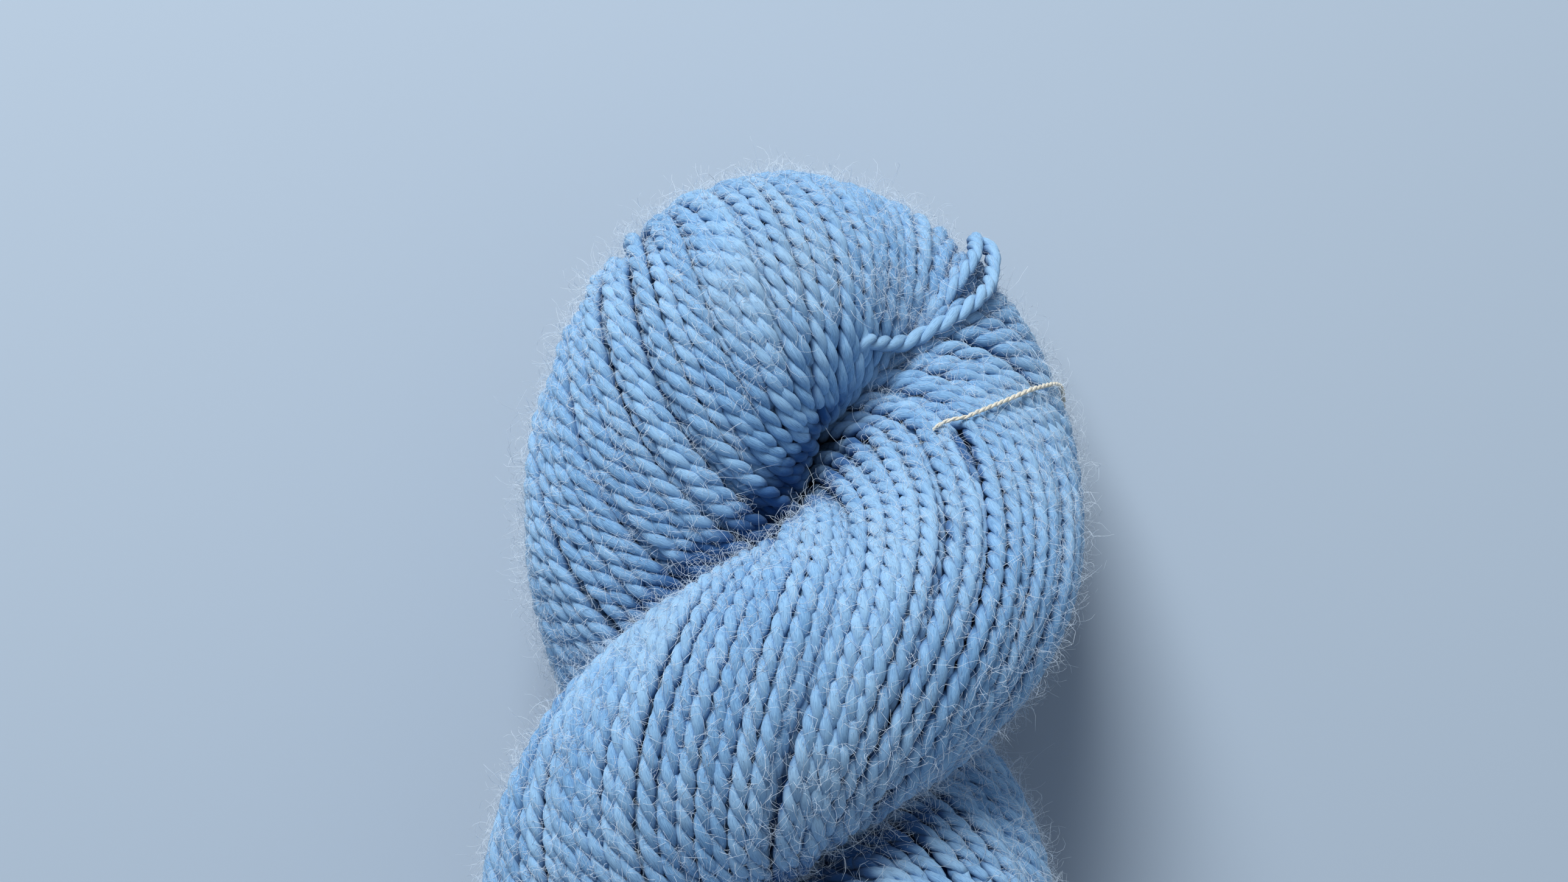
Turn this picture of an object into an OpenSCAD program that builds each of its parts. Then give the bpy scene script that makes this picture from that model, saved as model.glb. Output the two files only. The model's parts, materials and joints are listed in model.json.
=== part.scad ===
// Skein of two-ply wool yarn: a wound loop, twisted, folded in half and tucked into itself.
// Millimetres, +Z up. The hank rests on z = 0, its folded head points to +Y and its tail to -Y.
// The origin is the middle of the rest plane. Lengths along the hank are given from the head's eye.

/* [Yarn bundle] */
// Radius of one leg of the hank
bundle_r = 13.4; // [13:0.1:13.8]
// Distance from the hank's centre line to the middle of each leg
leg_offset = 12.4; // [12.2:0.1:12.8]
// Length in which the two legs turn once about each other
ply_pitch = 78; // [76:1:82]
// Gap left between the two legs
leg_gap = 0.9; // [0.7:0.1:1.2]
// How much steeper the legs cross on top than at the sides, in degrees
cross_sway = 6.9; // [4:0.1:9]
// How far each leg spreads sideways about the hank's centre line, in degrees
leg_spread = 86; // [82:1:88]
// Height of the soft rope as a share of its width
sag = 0.86; // [0.82:0.01:0.9]

// How much of the rope's underside is pressed flat where it rests
rest_sink = 1.4; // [1:0.1:1.8]

/* [Folded head] */
// Half of the height step between the low lobe and the high lobe
lobe_rise = 7.5; // [6:0.1:8]
// How far the crease between the lobes is turned toward the high lobe, in degrees
crease_turn = 12; // [6:1:18]
// Length of the head beyond the eye as a share of its half width
head_stretch = 1.31; // [1.25:0.01:1.35]
// Radius of the eye in the middle of the head
eye_r = 1.5; // [1.2:0.1:2]
// How far the head sinks toward the surface it lies on
head_droop = 3.6; // [3:0.1:4]

/* [Joints between the three lengths] */
// Distance from the eye to the upper bend
upper_bend_at = 78; // [76:1:80]
// Distance from the eye to the lower bend
lower_bend_at = 148; // [146:1:150]
// Radius of the round joint faces
bend_r = 23; // [22.9:0.1:23.5]
// Clearance between the round joint faces
bend_gap = 0.5; // [0.4:0.1:0.8]

/* [Tail] */
// Distance from the eye to the loop that holds the tucked end
collar_at = 200; // [199:1:202]
// Width of that loop along the hank
collar_w = 14; // [12:1:15]
// Outer radius of that loop
collar_r = 18.8; // [18:0.1:19.5]
// Radius of the tucked end's neck
neck_r = 9.8; // [9:0.1:10.5]
// Clearance round the neck
neck_gap = 0.7; // [0.5:0.1:1]
// Radius of the tucked end's bulb
bulb_r = 18.2; // [17.8:0.1:18.8]
// Distance from the eye to the tip of the bulb
tip_at = 243; // [240:1:246]
// How far the tail sinks toward the surface it lies on
tail_droop = 3.4; // [3:0.1:3.6]

/* [Threads] */
// Thickness of the tie threads
thread_d = 0.6; // [0.4:0.1:0.6]
// Depth to which a tie thread pulls the bundle in
tie_depth = 2; // [1.9:0.1:2.1]
// Thickness of the yarn
yarn_d = 1.9; // [1.6:0.1:2.1]
// Place of the tie thread seen on the head, in degrees round the fold from the low side
head_tie_angle = 14.5; // [13:0.5:18]
// Place of the stray yarn loop on the head, in degrees round the fold from the low side
stray_angle = 43; // [41:1:46]

/* [Hidden] */
axis_z = sag * (leg_offset + bundle_r) - rest_sink;
tail_z = axis_z - tail_droop;
mid_y = (tip_at - head_stretch * (leg_offset + bundle_r)) / 2;
helix_lean = atan(leg_offset * 2 * PI / ply_pitch);
tie_a_y = -126;
tie_b_y = -120;
tie_tail_y = -185;
tie_width = 8;
thread_sink = 0.2 - thread_d / 2;
taper_from = 176;
taper_len = 24;
ring_n = 18;
leg_step = 2.4;
piece_gap = 0.15;
end_y = -146;

function ease(t) = let (u = min(1, max(0, t))) u * u * (3 - 2 * u);
function mix(a, b, t) = a + (b - a) * t;
function unit(v) = v / norm(v);
function bump(u) = abs(u) < 1 ? pow(1 - u * u, 2) : 0;

// Droop and narrowing along the hank, then the step from flat coordinates to the real position.
function taper(y) = 1 - 0.2 * ease((-y - taper_from) / taper_len);
function droop(y) = -head_droop * ease((y + 15) / 25) - tail_droop * ease((-y - taper_from) / taper_len);
function place(p) = [p[0], p[1], axis_z + sag * p[2] + droop(p[1])];

// A tie thread lies square to its leg, so it runs along the hank as it goes round, except across
// the flat side that faces the other leg.
function tie_y(y0, f) = y0 - bundle_r * sin(helix_lean) * sin(f) * min(1, 1.5 * (1 + cos(f)));
function tie_cut(y0, y, f) = tie_depth * bump((y - tie_y(y0, f)) / tie_width);
function leg_cut(phase, y, f) =
    phase == 0 ? max(tie_cut(tie_a_y, y, f), tie_cut(tie_tail_y, y, f)) : tie_cut(tie_b_y, y, f);

// Section of one leg across the hank: distance from the centre plane, then distance along it.
function leg_section(y, f, cut) =
    let (rho = taper(y) * (leg_offset + (bundle_r - cut) * cos(f)))
    let (turn = leg_spread * sin(f) * (1 - cut / bundle_r))
    [max(leg_gap / 2 + cut, rho * cos(turn)), rho * sin(turn)];
function leg_turn(phase, y) = 90 + phase + 360 * y / ply_pitch - cross_sway * sin(720 * y / ply_pitch);
function leg_point(phase, y, f, cut) =
    let (s = leg_section(y, f, cut), w = leg_turn(phase, y))
    place([s[0] * sin(w) + s[1] * cos(w), y, s[0] * cos(w) - s[1] * sin(w)]);

// The head: upright sections round the eye, with a low lobe, a crease and a high lobe.
function lobe_z(a) = -lobe_rise * sin(2 * (a - crease_turn * pow(sin(a), 2)));
function lobe_slope(a) = (lobe_z(a + 1) - lobe_z(a - 1)) * 90 / PI / leg_offset;
function head_cut(a) = tie_depth * bump((a - head_tie_angle) / 20);
function head_point(a, f, cut) =
    let (s = leg_section(0, f, cut), w = ease(1 - a / 30) + ease((a - 150) / 30))
    let (r = bundle_r - cut, tall = sqrt(1 + pow(lobe_slope(a), 2)))
    let (out = max(mix(eye_r + cut, leg_gap / 2 + cut, w), mix(leg_offset + r * cos(f), s[0], w)))
    place([out * cos(a), out * sin(a) * head_stretch, lobe_z(a) - mix(r * tall * sin(f), s[1], w)]);

// Skin over a list of equal rings, closed by flat ends or joined end to start.
module skin(rings, closed = false) {
    n = len(rings[0]);
    m = len(rings);
    sides = [
        for (i = [0:m - (closed ? 1 : 2)], k = [0:n - 1])
            let (j = (i + 1) % m, l = (k + 1) % n)
            each [[i * n + k, i * n + l, j * n + l], [i * n + k, j * n + l, j * n + k]]
    ];
    ends = closed ? [] : [[for (k = [n - 1:-1:0]) k], [for (k = [0:n - 1]) (m - 1) * n + k]];
    polyhedron(points = [for (r = rings) each r], faces = concat(sides, ends), convexity = 10);
}

// Round cord along a path, with a steady side direction for its rings.
module cord(path, side, d, closed = false) {
    m = len(path);
    rings = [
        for (i = [0:m - 1])
            let (a = path[closed ? (i + m - 1) % m : max(0, i - 1)])
            let (b = path[closed ? (i + 1) % m : min(m - 1, i + 1)])
            let (u = unit(cross(b - a, side)), v = unit(cross(u, b - a)))
            [for (k = [0:5]) path[i] + d / 2 * (cos(60 * k) * u + sin(60 * k) * v)]
    ];
    skin(rings, closed);
}

// Moves a finished piece from the head's eye to the middle of the hank.
module centred() {
    translate([0, mid_y, 0])
        children();
}

// Everything under the rest plane, taken off so the hank has true flats to lie on.
module rest_cut() {
    translate([-60, -300, -20])
        cube([120, 400, 20]);
}

module joint_drum(at, r) {
    translate([-60, -at, axis_z])
        rotate([0, 90, 0])
            cylinder(r = r, h = 120, $fn = 96);
}

// What a length must lose past its bend, so that it ends in a round nose.
module nose_cut(at) {
    difference() {
        translate([-60, -at - 60, -30])
            cube([120, 60, 110]);
        joint_drum(at, bend_r);
    }
}

module leg_run(phase, from, to) {
    count = ceil((to - from) / leg_step);
    skin([
        for (i = [0:count])
            let (y = -mix(from, to, i / count))
            [
                for (k = [0:ring_n - 1])
                    let (f = 360 * k / ring_n)
                    leg_point(phase, y, f, leg_cut(phase, y, f))
            ]
    ]);
}

module leg_upper(phase) {
    difference() {
        leg_run(phase, piece_gap, upper_bend_at + bend_r + 1);
        nose_cut(upper_bend_at);
        rest_cut();
    }
}

module leg_middle(phase) {
    difference() {
        leg_run(phase, upper_bend_at, lower_bend_at + bend_r + 1);
        joint_drum(upper_bend_at, bend_r + bend_gap);
        nose_cut(lower_bend_at);
        rest_cut();
    }
}

module leg_lower(phase) {
    difference() {
        leg_run(phase, lower_bend_at, collar_at - piece_gap);
        joint_drum(lower_bend_at, bend_r + bend_gap);
        rest_cut();
    }
}

module head_loop() {
    centred()
        color([0.52, 0.68, 0.85])
            difference() {
                skin([
                    for (i = [0:36])
                        let (a = 5 * i)
                        [for (k = [0:ring_n - 1]) head_point(a, 360 * k / ring_n, head_cut(a))]
                ]);
                rest_cut();
            }
}

module leg_a_upper() {
    centred()
        color([0.50, 0.66, 0.83])
            leg_upper(0);
}

module leg_b_upper() {
    centred()
        color([0.44, 0.60, 0.78])
            leg_upper(180);
}

module leg_a_middle() {
    centred()
        color([0.50, 0.66, 0.83])
            leg_middle(0);
}

module leg_b_middle() {
    centred()
        color([0.44, 0.60, 0.78])
            leg_middle(180);
}

module leg_a_lower() {
    centred()
        color([0.50, 0.66, 0.83])
            leg_lower(0);
}

module leg_b_lower() {
    centred()
        color([0.44, 0.60, 0.78])
            leg_lower(180);
}

// Loop at the end of one leg, through which the other leg's end is tucked.
module tail_collar() {
    hole = neck_r + neck_gap;
    wall = collar_r - hole;
    centred()
        color([0.48, 0.64, 0.82])
            difference() {
                translate([0, -collar_at, tail_z])
                    rotate([90, 0, 0])
                        rotate_extrude($fn = 96)
                            polygon([
                                [hole, 0],
                                [hole + 0.8 * wall, 0],
                                [collar_r, 0.25 * collar_w],
                                [collar_r, 0.7 * collar_w],
                                [hole + 0.75 * wall, 0.93 * collar_w],
                                [hole + 0.4 * wall, collar_w],
                                [hole, collar_w]
                            ]);
                rest_cut();
            }
}

// End of the other leg: a neck through the loop, then a full round bulb.
module tucked_end() {
    bulb_from = collar_at + 2 * piece_gap + collar_w + 1;
    bulb_len = tip_at - bulb_from;
    centred()
        color([0.45, 0.61, 0.80])
            difference() {
                translate([0, -collar_at - 2 * piece_gap, tail_z])
                    rotate([90, 0, 0])
                        rotate_extrude($fn = 96)
                            polygon([
                                [0, 0],
                                [neck_r, 0],
                                [neck_r, collar_w + 1],
                                for (a = [15:10:85])
                                    [
                                        mix(neck_r, bulb_r, sin(a)),
                                        collar_w + 1 + bulb_len * 0.4 * (1 - cos(a))
                                    ],
                                for (a = [0:10:80])
                                    [
                                        bulb_r * pow(cos(a), 0.8),
                                        collar_w + 1 + bulb_len * (0.45 + 0.55 * sin(a))
                                    ],
                                [0, collar_w + 1 + bulb_len]
                            ]);
                rest_cut();
            }
}

module leg_tie(phase, y0) {
    w = leg_turn(phase, y0);
    lean = tan(helix_lean);
    path = [
        for (i = [0:47])
            let (f = 7.5 * i)
            leg_point(phase, tie_y(y0, f), f, thread_sink)
    ];
    cord(path, [lean * cos(w), 1, -lean * sin(w)], thread_d, true);
}

// The tie seen in the crease of the head: it goes round the low lobe and over its outer edge.
module tie_thread_head() {
    a = head_tie_angle;
    path = [for (i = [0:47]) head_point(a, 7.5 * i, thread_sink)];
    centred()
        color([0.90, 0.86, 0.76])
            cord(path, [-sin(a), cos(a), 0], thread_d, true);
}

module tie_thread_a() {
    centred()
        color([0.90, 0.86, 0.76])
            leg_tie(0, tie_a_y);
}

module tie_thread_b() {
    centred()
        color([0.90, 0.86, 0.76])
            leg_tie(180, tie_b_y);
}

module tie_thread_tail() {
    centred()
        color([0.90, 0.86, 0.76])
            leg_tie(0, tie_tail_y);
}

// One round of yarn that has worked loose and lies along the crease, past the outer edge.
module stray_yarn() {
    lift = -yarn_d / 2 - 0.9;
    path = [
        for (i = [0:16])
            let (f = mix(-85, 4, i / 16))
            head_point(stray_angle + 3 * sin(9 * i), f, lift - 1.2 * ease((f + 30) / 34))
    ];
    centred()
        color([0.58, 0.74, 0.90])
            cord(path, [-sin(stray_angle), cos(stray_angle), 0], yarn_d);
}

// Free end of the yarn, laid along one leg.
module yarn_end() {
    lift = -yarn_d / 2 - 0.5;
    path = [for (i = [0:20]) leg_point(180, end_y + 1.2 * i, 30 - 3 * i, lift - 1.5 * bump((i - 20) / 8))];
    centred()
        color([0.58, 0.74, 0.90])
            cord(path, [0, 0.2, 1], yarn_d);
}

head_loop();
leg_a_upper();
leg_b_upper();
leg_a_middle();
leg_b_middle();
leg_a_lower();
leg_b_lower();
tail_collar();
tucked_end();
tie_thread_head();
tie_thread_a();
tie_thread_b();
tie_thread_tail();
stray_yarn();
yarn_end();
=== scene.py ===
"""Looks for a twisted hank of two-ply wool yarn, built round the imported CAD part."""

import json
import math

import bpy
import numpy as np
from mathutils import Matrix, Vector

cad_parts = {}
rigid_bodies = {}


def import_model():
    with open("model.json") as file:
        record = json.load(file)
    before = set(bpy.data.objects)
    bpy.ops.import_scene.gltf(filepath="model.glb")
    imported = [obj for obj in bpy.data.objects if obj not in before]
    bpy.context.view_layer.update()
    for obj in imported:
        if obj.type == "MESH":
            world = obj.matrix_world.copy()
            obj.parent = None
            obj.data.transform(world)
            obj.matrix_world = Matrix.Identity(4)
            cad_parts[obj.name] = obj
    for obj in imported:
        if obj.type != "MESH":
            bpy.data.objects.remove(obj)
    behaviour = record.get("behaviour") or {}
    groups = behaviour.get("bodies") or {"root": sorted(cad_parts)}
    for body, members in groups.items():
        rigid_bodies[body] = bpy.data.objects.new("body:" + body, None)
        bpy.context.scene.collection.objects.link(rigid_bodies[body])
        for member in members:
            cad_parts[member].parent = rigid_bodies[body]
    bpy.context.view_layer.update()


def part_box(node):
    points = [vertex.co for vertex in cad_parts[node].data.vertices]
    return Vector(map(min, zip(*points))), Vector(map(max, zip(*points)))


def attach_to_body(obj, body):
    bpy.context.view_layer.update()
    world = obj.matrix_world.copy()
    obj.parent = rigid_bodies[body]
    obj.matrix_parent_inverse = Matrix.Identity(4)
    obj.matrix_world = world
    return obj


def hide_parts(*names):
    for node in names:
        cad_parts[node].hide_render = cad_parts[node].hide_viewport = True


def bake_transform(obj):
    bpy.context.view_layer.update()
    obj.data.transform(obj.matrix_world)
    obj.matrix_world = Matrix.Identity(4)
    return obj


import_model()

# ---------------------------------------------------------------- shape of the hank, in millimetres
MM = 0.001
EYE_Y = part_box("head_loop")[0][1] / MM  # the eye of the head, along the hank
LEG_A = 12.4  # from the hank's centre line to a leg's centre
LEG_R = 13.4  # outer radius of a leg
PITCH = 78.0  # one full turn of the two legs
OMEGA = 2 * math.pi / PITCH
SAG = 0.86
AXIS_Z = SAG * (LEG_A + LEG_R) - 1.4
HEAD_DROOP, TAIL_DROOP = 3.6, 3.4
LOBE_RISE, CREASE_TURN = 7.5, math.radians(-12)
HEAD_LEN = math.pi * LEG_A
SWAY = 0.12  # the legs cross steeply on top and run straighter at the sides
HEAD_Y = 7.3  # how much longer than round the head is
UPPER_BEND, LOWER_BEND, BEND_HALF = -78.0, -148.0, 13.0
COLLAR_AT, COLLAR_W, COLLAR_R, HOLE_R = 200.0, 14.0, 18.8, 10.5
NECK_R, BULB_R, TIP_AT = 9.8, 18.2, 243.0
LEG_END = 205.0
UNDER_DEPTH, CORE_DEPTH = 1.1, 1.9  # how far the second layer and the filling lie below the rounds

# ---------------------------------------------------------------- the yarn
STRANDS = 38
YARN_D = 1.78
STRAND_R = LEG_R - 0.85
PLY_PITCH = 4.3
HEAD_CUT, LEG_CUT = 40.0, 113.0  # where the rounds are parted into pieces, away from the bends
TIES = {"tie_thread_a": -126.0, "tie_thread_tail": -185.0, "tie_thread_b": HEAD_LEN + 120.0}
ATTRIBUTES = ["fib_x", "fib_y", "len", "tone", "painted_shade"]


def ease(t):
    t = np.clip(t, 0, 1)
    return t * t * (3 - 2 * t)


def bump(t):
    return np.where(np.abs(t) < 1, (1 - np.clip(t, -1, 1) ** 2) ** 2, 0)


def wave(x, seed, scales=(1.0, 2.3, 4.1)):
    """Smooth repeatable noise of x, about -1 to 1."""
    g = np.random.default_rng(seed)
    out = np.zeros_like(x, dtype=float)
    for i, s in enumerate(scales):
        a, b = g.uniform(0, 2 * math.pi, 2)
        out += np.sin(x * s + a) * np.cos(x * s * 0.63 + b) / (1 + 0.6 * i)
    return out * 0.7


def unit(v):
    return v / (np.linalg.norm(v, axis=-1, keepdims=True) + 1e-12)


def taper(y):
    return 1 - 0.2 * ease((-y - 176) / 24)


def droop(y):
    return -HEAD_DROOP * ease((y + 15) / 25) - TAIL_DROOP * ease((-y - 176) / 24)


def rest_on_floor(z, clear):
    return clear + 0.5 * ((z - clear) + np.sqrt((z - clear) ** 2 + 0.5))


def place(p, clear=1.0):
    """From the round, straight rope to the soft hank lying on the floor, in millimetres of the row."""
    z = AXIS_Z + SAG * p[..., 2] + droop(p[..., 1])
    return np.stack([p[..., 0], p[..., 1] + EYE_Y, rest_on_floor(z, clear)], -1)


def lobe_z(t):
    return -LOBE_RISE * np.sin(2 * (t + CREASE_TURN * np.sin(t) ** 2))


def turn_at(y):
    return OMEGA * y - SWAY * np.sin(2 * OMEGA * y)


def turn_rate(y):
    return OMEGA - 2 * OMEGA * SWAY * np.cos(2 * OMEGA * y)


def leg_y(u):
    """Distance along the hank of a place on leg A (u below 0) or leg B (u past the head)."""
    return np.where(u < 0, u, -(u - HEAD_LEN))


def centre(u):
    """Centre line of the bundle: leg A up to 0, the head, then leg B.

    Gives the point, the tangent and the outward normal."""
    u = np.asarray(u, float)
    y = leg_y(u)
    w = turn_at(y) + np.where(u < 0, 0.5, 1.5) * math.pi
    rate = LEG_A * turn_rate(y)
    k = taper(y)
    leg_p = np.stack([k * LEG_A * np.sin(w), y, k * LEG_A * np.cos(w)], -1)
    leg_t = np.stack([rate * np.cos(w), np.ones_like(w), -rate * np.sin(w)], -1)
    leg_t = leg_t * np.where(u < 0, 1.0, -1.0)[..., None]
    leg_n = np.stack([np.sin(w), 0 * w, np.cos(w)], -1)
    t = np.clip(u / LEG_A, 0, math.pi)
    a = LEG_A + 0.6 * np.sin(t)
    ay = a + HEAD_Y
    h = 1e-3
    slope = (lobe_z(t + h) - lobe_z(t - h)) / (2 * h)
    head_p = np.stack([a * np.cos(t), ay * np.sin(t), lobe_z(t)], -1)
    head_t = np.stack([-a * np.sin(t), ay * np.cos(t), slope], -1)
    head_n = unit(np.stack([ay * np.cos(t), a * np.sin(t), 0 * t], -1))
    in_head = ((u >= 0) & (u <= HEAD_LEN))[..., None]
    p = np.where(in_head, head_p, leg_p)
    tan = np.where(in_head, head_t, leg_t)
    nor = np.where(in_head, head_n, leg_n)
    return p, unit(tan), nor


def bundle_radius(u):
    """Radius on which the outer rounds lie. The tie threads and the collar pull it in."""
    t = np.clip(u / LEG_A, 0, math.pi)
    in_head = (u > 0) & (u < HEAD_LEN)
    r = (STRAND_R - 0.8 * np.sin(t)) * np.where(in_head, 1, taper(leg_y(u)))
    for at in TIES.values():
        r = r - 0.8 * bump((u - at) / 7)
    return r - 3.5 * ease((-leg_y(u) - 193) / 12) * ~in_head


def surface(u, phi, rho):
    """Point at angle phi round the bundle and distance rho from its centre.

    The bundle is pressed flat where the legs meet."""
    c, t, n = centre(u)
    b = np.cross(t, n)
    p = c + rho[..., None] * (np.cos(phi)[..., None] * n + np.sin(phi)[..., None] * b)
    own = np.arctan2(n[..., 0], n[..., 2])
    far = np.where(u < 0, -u, np.maximum(u - HEAD_LEN, 0))
    turn = (turn_at(p[..., 1]) - turn_at(leg_y(u))) * ease(far / 20)
    w = own + turn
    s, k = np.sin(w), np.cos(w)
    head = (u > 0) & (u < HEAD_LEN)
    d_leg = p[..., 0] * s + p[..., 2] * k
    e_leg = p[..., 0] * k - p[..., 2] * s
    soft = 0.5 * (d_leg + np.sqrt(d_leg**2 + 1.6))
    leg = np.stack([soft * s + e_leg * k, p[..., 1], soft * k - e_leg * s], -1)
    d = p[..., 0] * n[..., 0] + p[..., 1] * n[..., 1]
    add = (0.5 * (d + np.sqrt(d**2 + 1.6)) - d)[..., None] * n
    return np.where(head[..., None], p + add, leg)


def twist_rate(u):
    """How fast the rounds wind about the bundle: steady on the legs, tighter on the high lobe."""
    base = 1.25 * turn_rate(np.minimum(leg_y(u), 0)) * (LEG_A + LEG_R) / LEG_R
    base = base * (1 - 0.35 * ease((u + 24) / 20) * (u < HEAD_LEN / 2))
    t = np.clip(u / LEG_A, 0, math.pi)
    high = ease((t - 0.75) / 0.35) * ease((3.0 - t) / 0.8)
    head = (1.1 + 0.9 * ease((t - 0.1) / 0.5) + 4.0 * high) / LEG_A
    w = ease(u / 6) * ease((HEAD_LEN + 16 - u) / 8)
    return base * (1 - w) + head * w


U_GRID = np.linspace(-LEG_END - 5, HEAD_LEN + LEG_END + 5, 6000)
TWIST = np.concatenate([[0], np.cumsum(twist_rate(0.5 * (U_GRID[1:] + U_GRID[:-1])) * np.diff(U_GRID))])
TWIST -= np.interp(0.0, U_GRID, TWIST)


def spacing(u, phi):
    """Distance between neighbouring rounds at this place on the bundle."""
    e = 0.4
    r = bundle_radius(u)
    along = (surface(u + e, phi, r) - surface(u - e, phi, r)) / (2 * e)
    side = (surface(u, phi + 0.03, r) - surface(u, phi - 0.03, r)) / 0.06
    run = unit(along - twist_rate(u)[..., None] * side)
    side = side * 2 * math.pi / STRANDS
    side = side - (side * run).sum(-1, keepdims=True) * run
    return np.linalg.norm(side, axis=-1)


def turn_take(i):
    """A number from 0 to 1 for round i that differs as much as it can from its neighbours' numbers."""
    return (i * 0.618034) % 1


def round_path(at, u, depth=0.0):
    """One round of yarn along the whole bundle: its centre line and the outward direction there."""
    i = int(at * 2)
    g = np.random.default_rng(100 + i)
    share = 2 * math.pi / STRANDS
    lat = 0.12 * share * wave(u / 9.0, 300 + i) + g.uniform(-0.12, 0.12) * share
    phi = share * at - np.interp(u, U_GRID, TWIST) + lat
    phi = phi + 0.05 * np.sin(3 * share * at + u / 17) + 0.03 * np.sin(5 * share * at - u / 11)
    rho = bundle_radius(u) + 0.22 * wave(u / 7.0, 600 + i) + g.uniform(-0.2, 0.2) - depth
    # Where rounds crowd together, some of them sink under their neighbours.
    room = spacing(u, phi) / 1.7
    rho = rho - 1.5 * ease((turn_take(i // 2) - room) / 0.22 + 0.3)
    p = place(surface(u, phi, rho))
    return p, unit(place(surface(u, phi, rho + 0.6), 0) - place(surface(u, phi, rho - 0.6), 0))


def by_step(p, step, *extra):
    """The path at the given steps (a number or one per point), with what goes along with it."""
    seg = np.linalg.norm(np.diff(p, axis=0), axis=1)
    s = np.concatenate([[0], np.cumsum(seg)])
    rate = 1 / (step * np.ones(len(p)))
    count = np.concatenate([[0], np.cumsum(seg * 0.5 * (rate[1:] + rate[:-1]))])
    q = np.interp(np.linspace(0, count[-1], max(4, int(count[-1])) + 1), count, s)
    out = []
    for v in (p,) + extra:
        if v.ndim == 2:
            out.append(np.stack([np.interp(q, s, v[:, k]) for k in range(3)], -1))
        else:
            out.append(np.interp(q, s, v))
    return q, out


# ---------------------------------------------------------------- meshes
class Tubes:
    """Collects closed tubes into one mesh."""

    def __init__(self):
        self.points, self.quads, self.ends, self.values, self.count = [], [], [], [], 0

    def add(self, rings, values):
        """rings: (m, k, 3) in millimetres. values: (m, k, number of attributes)."""
        m, k, _ = rings.shape
        self.points.append(rings.reshape(-1, 3))
        self.values.append(values.reshape(m * k, -1))
        i = np.arange(m - 1)[:, None] * k
        j = np.arange(k)[None, :]
        nxt = (j + 1) % k
        quad = np.stack([i + j, i + nxt, i + k + nxt, i + k + j], -1)
        self.quads.append(quad.reshape(-1, 4) + self.count)
        fan = np.stack([np.zeros(k - 2, int), np.arange(1, k - 1), np.arange(2, k)], -1)
        self.ends.append(np.concatenate([fan[:, ::-1], fan + (m - 1) * k]) + self.count)
        self.count += m * k

    def batch(self, rings, values):
        """Many equal tubes at once. rings: (n, m, k, 3)."""
        n, m, k, _ = rings.shape
        self.points.append(rings.reshape(-1, 3))
        self.values.append(values.reshape(n * m * k, -1))
        base = (np.arange(n) * m * k)[:, None, None, None]
        i = (np.arange(m - 1) * k)[None, :, None, None]
        j = np.arange(k)[None, None, :, None]
        nxt = (j + 1) % k
        quad = np.concatenate([base + i + j, base + i + nxt, base + i + k + nxt, base + i + k + j], -1)
        self.quads.append(quad.reshape(-1, 4) + self.count)
        fan = np.stack([np.zeros(k - 2, int), np.arange(1, k - 1), np.arange(2, k)], -1)
        fan = np.concatenate([fan[:, ::-1], fan + (m - 1) * k])
        self.ends.append((base[:, 0, 0, :, None] + fan[None]).reshape(-1, 3) + self.count)
        self.count += n * m * k

    def mesh(self, name, material):
        points = np.concatenate(self.points) * MM
        quads, ends = np.concatenate(self.quads), np.concatenate(self.ends)
        values = np.concatenate(self.values)
        me = bpy.data.meshes.new(name)
        me.vertices.add(len(points))
        me.vertices.foreach_set("co", points.astype(np.float32).ravel())
        corners = np.concatenate([quads.ravel(), ends.ravel()])
        me.loops.add(len(corners))
        me.loops.foreach_set("vertex_index", corners.astype(np.int32))
        me.polygons.add(len(quads) + len(ends))
        starts = np.concatenate([np.arange(len(quads)) * 4, len(quads) * 4 + np.arange(len(ends)) * 3])
        me.polygons.foreach_set("loop_start", starts.astype(np.int32))
        me.polygons.foreach_set("use_smooth", np.ones(len(starts), bool))
        for c, attribute in enumerate(ATTRIBUTES):
            layer = me.attributes.new(attribute, "FLOAT", "POINT")
            layer.data.foreach_set("value", values[:, c].astype(np.float32))
        me.update()
        me.materials.append(material)
        o = bpy.data.objects.new(name, me)
        bpy.context.scene.collection.objects.link(o)
        return o


def steady_side(p):
    """A side direction that doesn't spin along the path."""
    t = unit(np.gradient(p, axis=0))
    n = np.zeros_like(p)
    n[0] = unit(np.cross(t[0], (0.3, 0.2, 0.9)))
    for i in range(1, len(p)):
        a = n[i - 1] - (n[i - 1] @ t[i]) * t[i]
        n[i] = a / (math.sqrt(a @ a) + 1e-12)
    return n, np.cross(t, n)


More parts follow.
